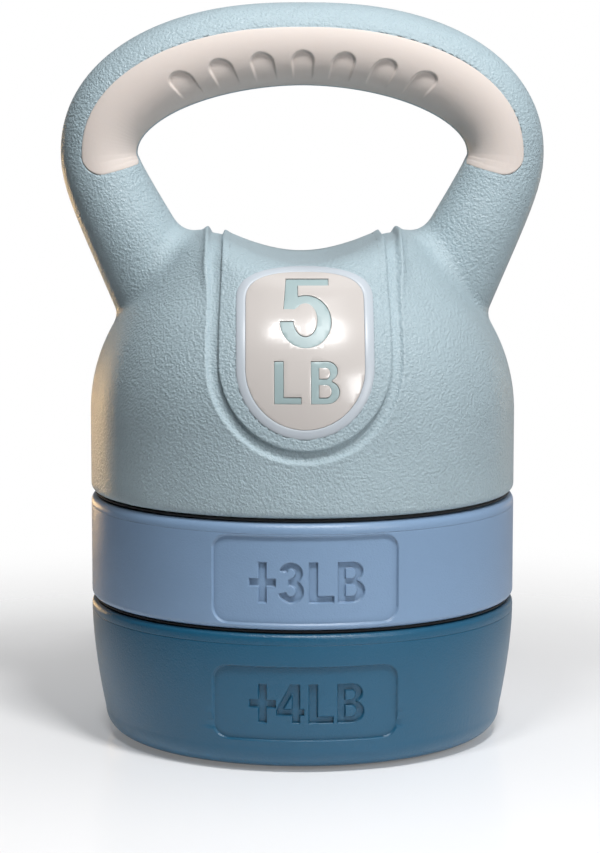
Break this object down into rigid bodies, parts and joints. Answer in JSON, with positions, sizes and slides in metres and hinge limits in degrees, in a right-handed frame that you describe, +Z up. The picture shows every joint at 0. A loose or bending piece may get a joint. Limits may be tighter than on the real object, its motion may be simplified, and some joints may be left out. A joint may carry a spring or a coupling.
{
  "type": "adjustable kettlebell",
  "caption": "Adjustable kettlebell: a handled bell on two stacking weight discs, clamped by a long screw from below, with a loop handle and cream grip pads.",
  "frame": {"origin": "centre of the foot ring's underside, on the floor", "axes": "+Z up, -Y towards the badge and the weight labels, X across the handle"},
  "size_m": [0.177, 0.1566, 0.2691],
  "materials": {
    "teal_shell": "moulded polyethylene with a leather grain, light teal",
    "teal_inlay": "smooth satin, light teal",
    "pale_blue_frame": "smooth satin, pale blue",
    "cream_plate": "glossy, cream",
    "cream_grip": "soft moulded grip rubber, cream, fine matt texture",
    "periwinkle_shell": "satin moulded polyethylene, periwinkle blue",
    "deep_blue_shell": "satin moulded polyethylene, deep teal blue",
    "black_rubber": "matt black rubber",
    "black_nylon": "matt glass-filled nylon, black",
    "steel": "bright zinc plated steel",
    "cement_fill": "rough cast cement and iron ore"
  },
  "bodies": {
    "base_weight": {"base_shell": "deep_blue_shell", "base_lid": "deep_blue_shell", "base_fill": "cement_fill", "base_sleeve": "steel", "foot_ring": "black_rubber", "lower_gasket": "black_rubber"},
    "middle_weight": {"middle_shell": "periwinkle_shell", "middle_lid": "periwinkle_shell", "middle_fill": "cement_fill", "middle_sleeve": "steel", "upper_gasket": "black_rubber"},
    "handle_unit": {"bell_shell": "teal_shell", "bell_bottom_plate": "black_nylon", "bottom_plate_screw_1": "steel", "bottom_plate_screw_2": "steel", "bottom_plate_screw_3": "steel", "bottom_plate_screw_4": "steel", "threaded_insert": "steel", "bell_fill": "cement_fill", "handle_steel_bar": "steel", "front_grip_pad": "cream_grip", "rear_grip_pad": "cream_grip", "front_badge_frame": "pale_blue_frame", "rear_badge_frame": "pale_blue_frame", "front_badge_plate": "cream_plate", "rear_badge_plate": "cream_plate", "numeral_five_inlay": "teal_inlay", "letter_l_inlay": "teal_inlay", "letter_b_inlay": "teal_inlay"},
    "screw_carriage": {"knob_washer": "steel"},
    "clamp": {"clamp_screw": "steel", "clamp_knob": "black_nylon"}
  },
  "joints": [
    {"name": "middle_lift", "type": "slide", "parent": "base_weight", "child": "middle_weight", "axis": [0, 0, 1], "range_m": [0, 0.06]},
    {"name": "handle_lift", "type": "slide", "parent": "middle_weight", "child": "handle_unit", "axis": [0, 0, 1], "range_m": [0, 0.06]},
    {"name": "screw_advance", "type": "slide", "parent": "base_weight", "child": "screw_carriage", "axis": [0, 0, -1], "range_m": [0, 0.0105]},
    {"name": "knob_turn", "type": "hinge", "parent": "screw_carriage", "child": "clamp", "pos_m": [0, 0, 0.0085], "axis": [0, 0, -1], "range_deg": [0, 2160]}
  ],
  "couplings": [
    {"joint": "knob_turn", "follows": "screw_advance", "rad_per_m": 3590.4}
  ]
}
